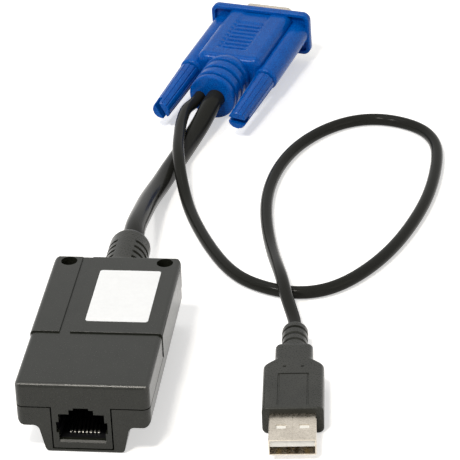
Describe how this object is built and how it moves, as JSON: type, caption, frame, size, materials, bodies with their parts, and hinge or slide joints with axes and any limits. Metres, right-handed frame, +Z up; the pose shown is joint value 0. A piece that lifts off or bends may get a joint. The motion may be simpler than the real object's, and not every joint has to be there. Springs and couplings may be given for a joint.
{
  "type": "kvm module",
  "caption": "Small console switch module with a network socket, joined by a cable to a blue video plug with thumbscrews and a thin cable to a USB plug.",
  "frame": {"origin": "middle of the case's footprint at the bottom of its belly, cables and plugs left out", "axes": "+Y from the network socket towards the cable end, +X to the right seen from the socket side, +Z up"},
  "size_m": [0.1004, 0.2425, 0.0205],
  "materials": {
    "case_black": "fine grained charcoal moulding",
    "label_white": "white film, plain, left bare",
    "black_steel": "blackened steel",
    "board_green": "green solder mask",
    "socket_black": "black moulding",
    "gold_contact": "gold plated spring metal",
    "chip_black": "moulded package",
    "can_metal": "drawn can",
    "can_sleeve": "shrink sleeve",
    "ceramic_tan": "fired ceramic",
    "white_nylon": "natural nylon",
    "lead_jacket": "coloured lead insulation, one colour a lead in the looks",
    "cable_black": "smooth flexible jacket",
    "hood_blue": "blue moulding with a satin sheen",
    "nickel_steel": "nickel plated sheet",
    "screw_steel": "turned steel",
    "grip_black": "satin moulding"
  },
  "bodies": {
    "module": {"bottom_cover": "case_black", "top_cover": "case_black", "label": "label_white", "case_screws": "black_steel", "main_board": "board_green", "socket_block": "socket_black", "socket_contacts": "gold_contact", "line_filter": "chip_black", "driver_chip": "chip_black", "controller_chip": "chip_black", "crystal": "can_metal", "voltage_regulator": "chip_black", "can_capacitors": "can_sleeve", "chip_capacitors": "ceramic_tan", "chip_resistors": "chip_black", "cable_header": "white_nylon", "cable_plug": "white_nylon", "cable_leads": "lead_jacket", "module_strain_relief": "cable_black", "vga_cable": "cable_black", "vga_hood": "hood_blue", "vga_shell": "nickel_steel", "vga_insulator": "socket_black", "vga_pins": "gold_contact", "usb_cable": "cable_black", "usb_grip": "grip_black", "usb_shell": "nickel_steel", "usb_insulator": "white_nylon", "usb_contacts": "gold_contact", "usb_core": "white_nylon"},
    "left_slide": {"left_ring": "black_steel"},
    "left_thumbscrew": {"left_screw": "screw_steel", "left_grip": "hood_blue"},
    "right_slide": {"right_ring": "black_steel"},
    "right_thumbscrew": {"right_screw": "screw_steel", "right_grip": "hood_blue"}
  },
  "joints": [
    {"name": "left_screw_travel", "type": "slide", "parent": "module", "child": "left_slide", "axis": [0.2413, 0.9679, 0.0698], "range_m": [0, 0.001]},
    {"name": "left_screw_turn", "type": "hinge", "parent": "left_slide", "child": "left_thumbscrew", "pos_m": [-0.00018, 0.16531, 0.008], "axis": [0.2413, 0.9679, 0.0698], "continuous": true},
    {"name": "right_screw_travel", "type": "slide", "parent": "module", "child": "right_slide", "axis": [0.2413, 0.9679, 0.0698], "range_m": [0, 0.001]},
    {"name": "right_screw_turn", "type": "hinge", "parent": "right_slide", "child": "right_thumbscrew", "pos_m": [0.02407, 0.15926, 0.008], "axis": [0.2413, 0.9679, 0.0698], "continuous": true}
  ]
}
